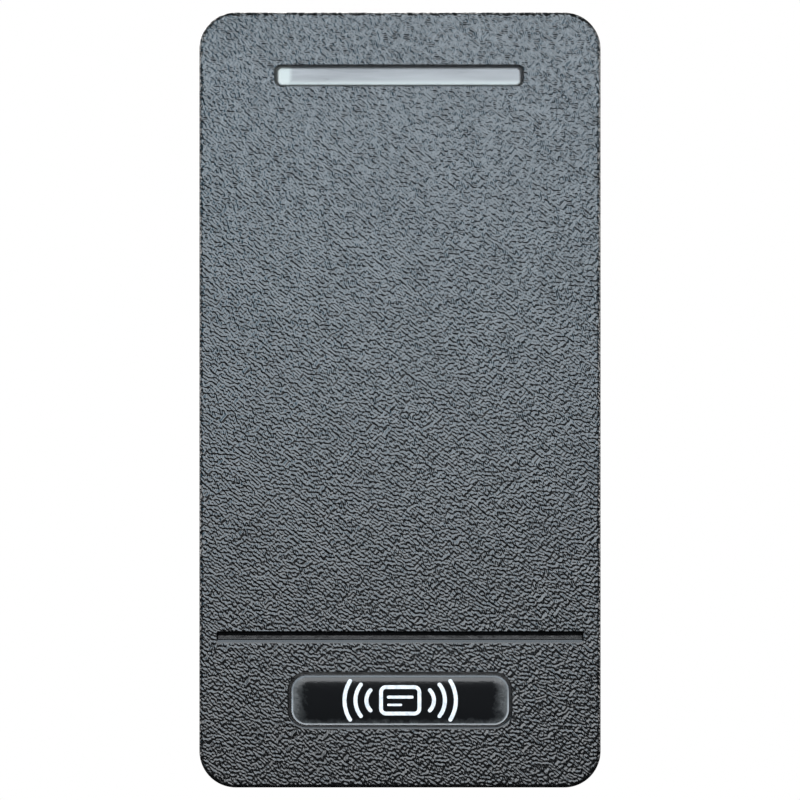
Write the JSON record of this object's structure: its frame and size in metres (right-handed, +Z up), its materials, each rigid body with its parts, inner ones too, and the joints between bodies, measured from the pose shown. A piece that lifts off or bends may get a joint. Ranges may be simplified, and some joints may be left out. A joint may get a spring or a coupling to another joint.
{
  "type": "rfid card reader",
  "caption": "Slim wall-mounted RFID card reader with a status light bar, a grained two-part case that tilts off a wall plate, and a locking screw.",
  "frame": {"origin": "centre of the wall plate's back face, on the wall", "axes": "+Z up along the reader's length, the front faces -Y, +Y into the wall"},
  "size_m": [0.044, 0.016, 0.085],
  "materials": {
    "front_shell": "spark-eroded grain, satin",
    "rear_shell": "fine matt",
    "plate_plastic": "fine matt",
    "lens": "milky, smooth",
    "label": "glossy domed",
    "seal_rubber": "matt",
    "screw_steel": "satin",
    "nut_zinc": "zinc plated",
    "circuit_board": "solder mask",
    "chip_resin": "matt",
    "chip_ceramic": "matt",
    "metal_can": "bright",
    "led_body": "glossy",
    "connector_nylon": "matt",
    "contact_gold": "bright",
    "coil_copper": "enamelled copper",
    "coil_nylon": "matt",
    "ferrite": "matt",
    "plunger_nylon": "satin"
  },
  "bodies": {
    "wall_plate": {"wall_plate": "plate_plastic"},
    "reader": {"front_cover": "front_shell", "rear_cover": "rear_shell", "light_guide": "lens", "badge_label": "label", "cover_seal": "seal_rubber", "light_guide_gasket": "seal_rubber", "cable_grommet": "seal_rubber", "case_screw_1": "screw_steel", "case_screw_2": "screw_steel", "case_screw_3": "screw_steel", "case_screw_4": "screw_steel", "board_screw_1": "screw_steel", "board_screw_2": "screw_steel", "board_screw_3": "screw_steel", "tamper_spring": "screw_steel", "lock_nut": "nut_zinc", "main_board": "circuit_board", "controller_chip": "chip_resin", "radio_chip": "chip_resin", "line_driver": "chip_resin", "voltage_regulator": "chip_resin", "power_inductor": "chip_resin", "buzzer": "chip_resin", "tamper_switch": "chip_resin", "chip_resistor_1": "chip_resin", "chip_resistor_2": "chip_resin", "chip_resistor_3": "chip_resin", "chip_capacitor_1": "chip_ceramic", "chip_capacitor_2": "chip_ceramic", "chip_capacitor_3": "chip_ceramic", "crystal": "metal_can", "bulk_capacitor_1": "metal_can", "bulk_capacitor_2": "metal_can", "status_led_1": "led_body", "status_led_2": "led_body", "status_led_3": "led_body", "status_led_4": "led_body", "status_led_5": "led_body", "cable_connector": "connector_nylon", "connector_pin_1": "contact_gold", "connector_pin_2": "contact_gold", "connector_pin_3": "contact_gold", "connector_pin_4": "contact_gold", "connector_pin_5": "contact_gold", "connector_pin_6": "contact_gold", "connector_pin_7": "contact_gold", "connector_pin_8": "contact_gold", "antenna_coil": "coil_copper", "coil_former": "coil_nylon", "ferrite_sheet": "ferrite"},
    "lock_washer": {"lock_washer": "screw_steel"},
    "lock_screw": {"lock_screw": "screw_steel"},
    "tamper_plunger": {"tamper_plunger": "plunger_nylon"}
  },
  "joints": [
    {"name": "unit_tilt", "type": "hinge", "parent": "wall_plate", "child": "reader", "pos_m": [0, -0.0012, 0.0406], "axis": [-1, 0, 0], "range_deg": [0, 15], "deforming": ["tamper_spring"]},
    {"name": "lock_screw_travel", "type": "slide", "parent": "reader", "child": "lock_washer", "axis": [0, 0, -1], "range_m": [0, 0.001]},
    {"name": "lock_screw_turn", "type": "hinge", "parent": "lock_washer", "child": "lock_screw", "pos_m": [0, -0.005, -0.0407], "axis": [0, 0, -1], "range_deg": [0, 720]},
    {"name": "tamper_plunger_slide", "type": "slide", "parent": "reader", "child": "tamper_plunger", "axis": [0, 1, 0], "range_m": [0, 0.0012]}
  ],
  "couplings": [
    {"joint": "lock_screw_turn", "follows": "lock_screw_travel", "rad_per_m": 12566},
    {"joint": "tamper_plunger_slide", "follows": "unit_tilt", "m_per_rad": 0.004583}
  ]
}
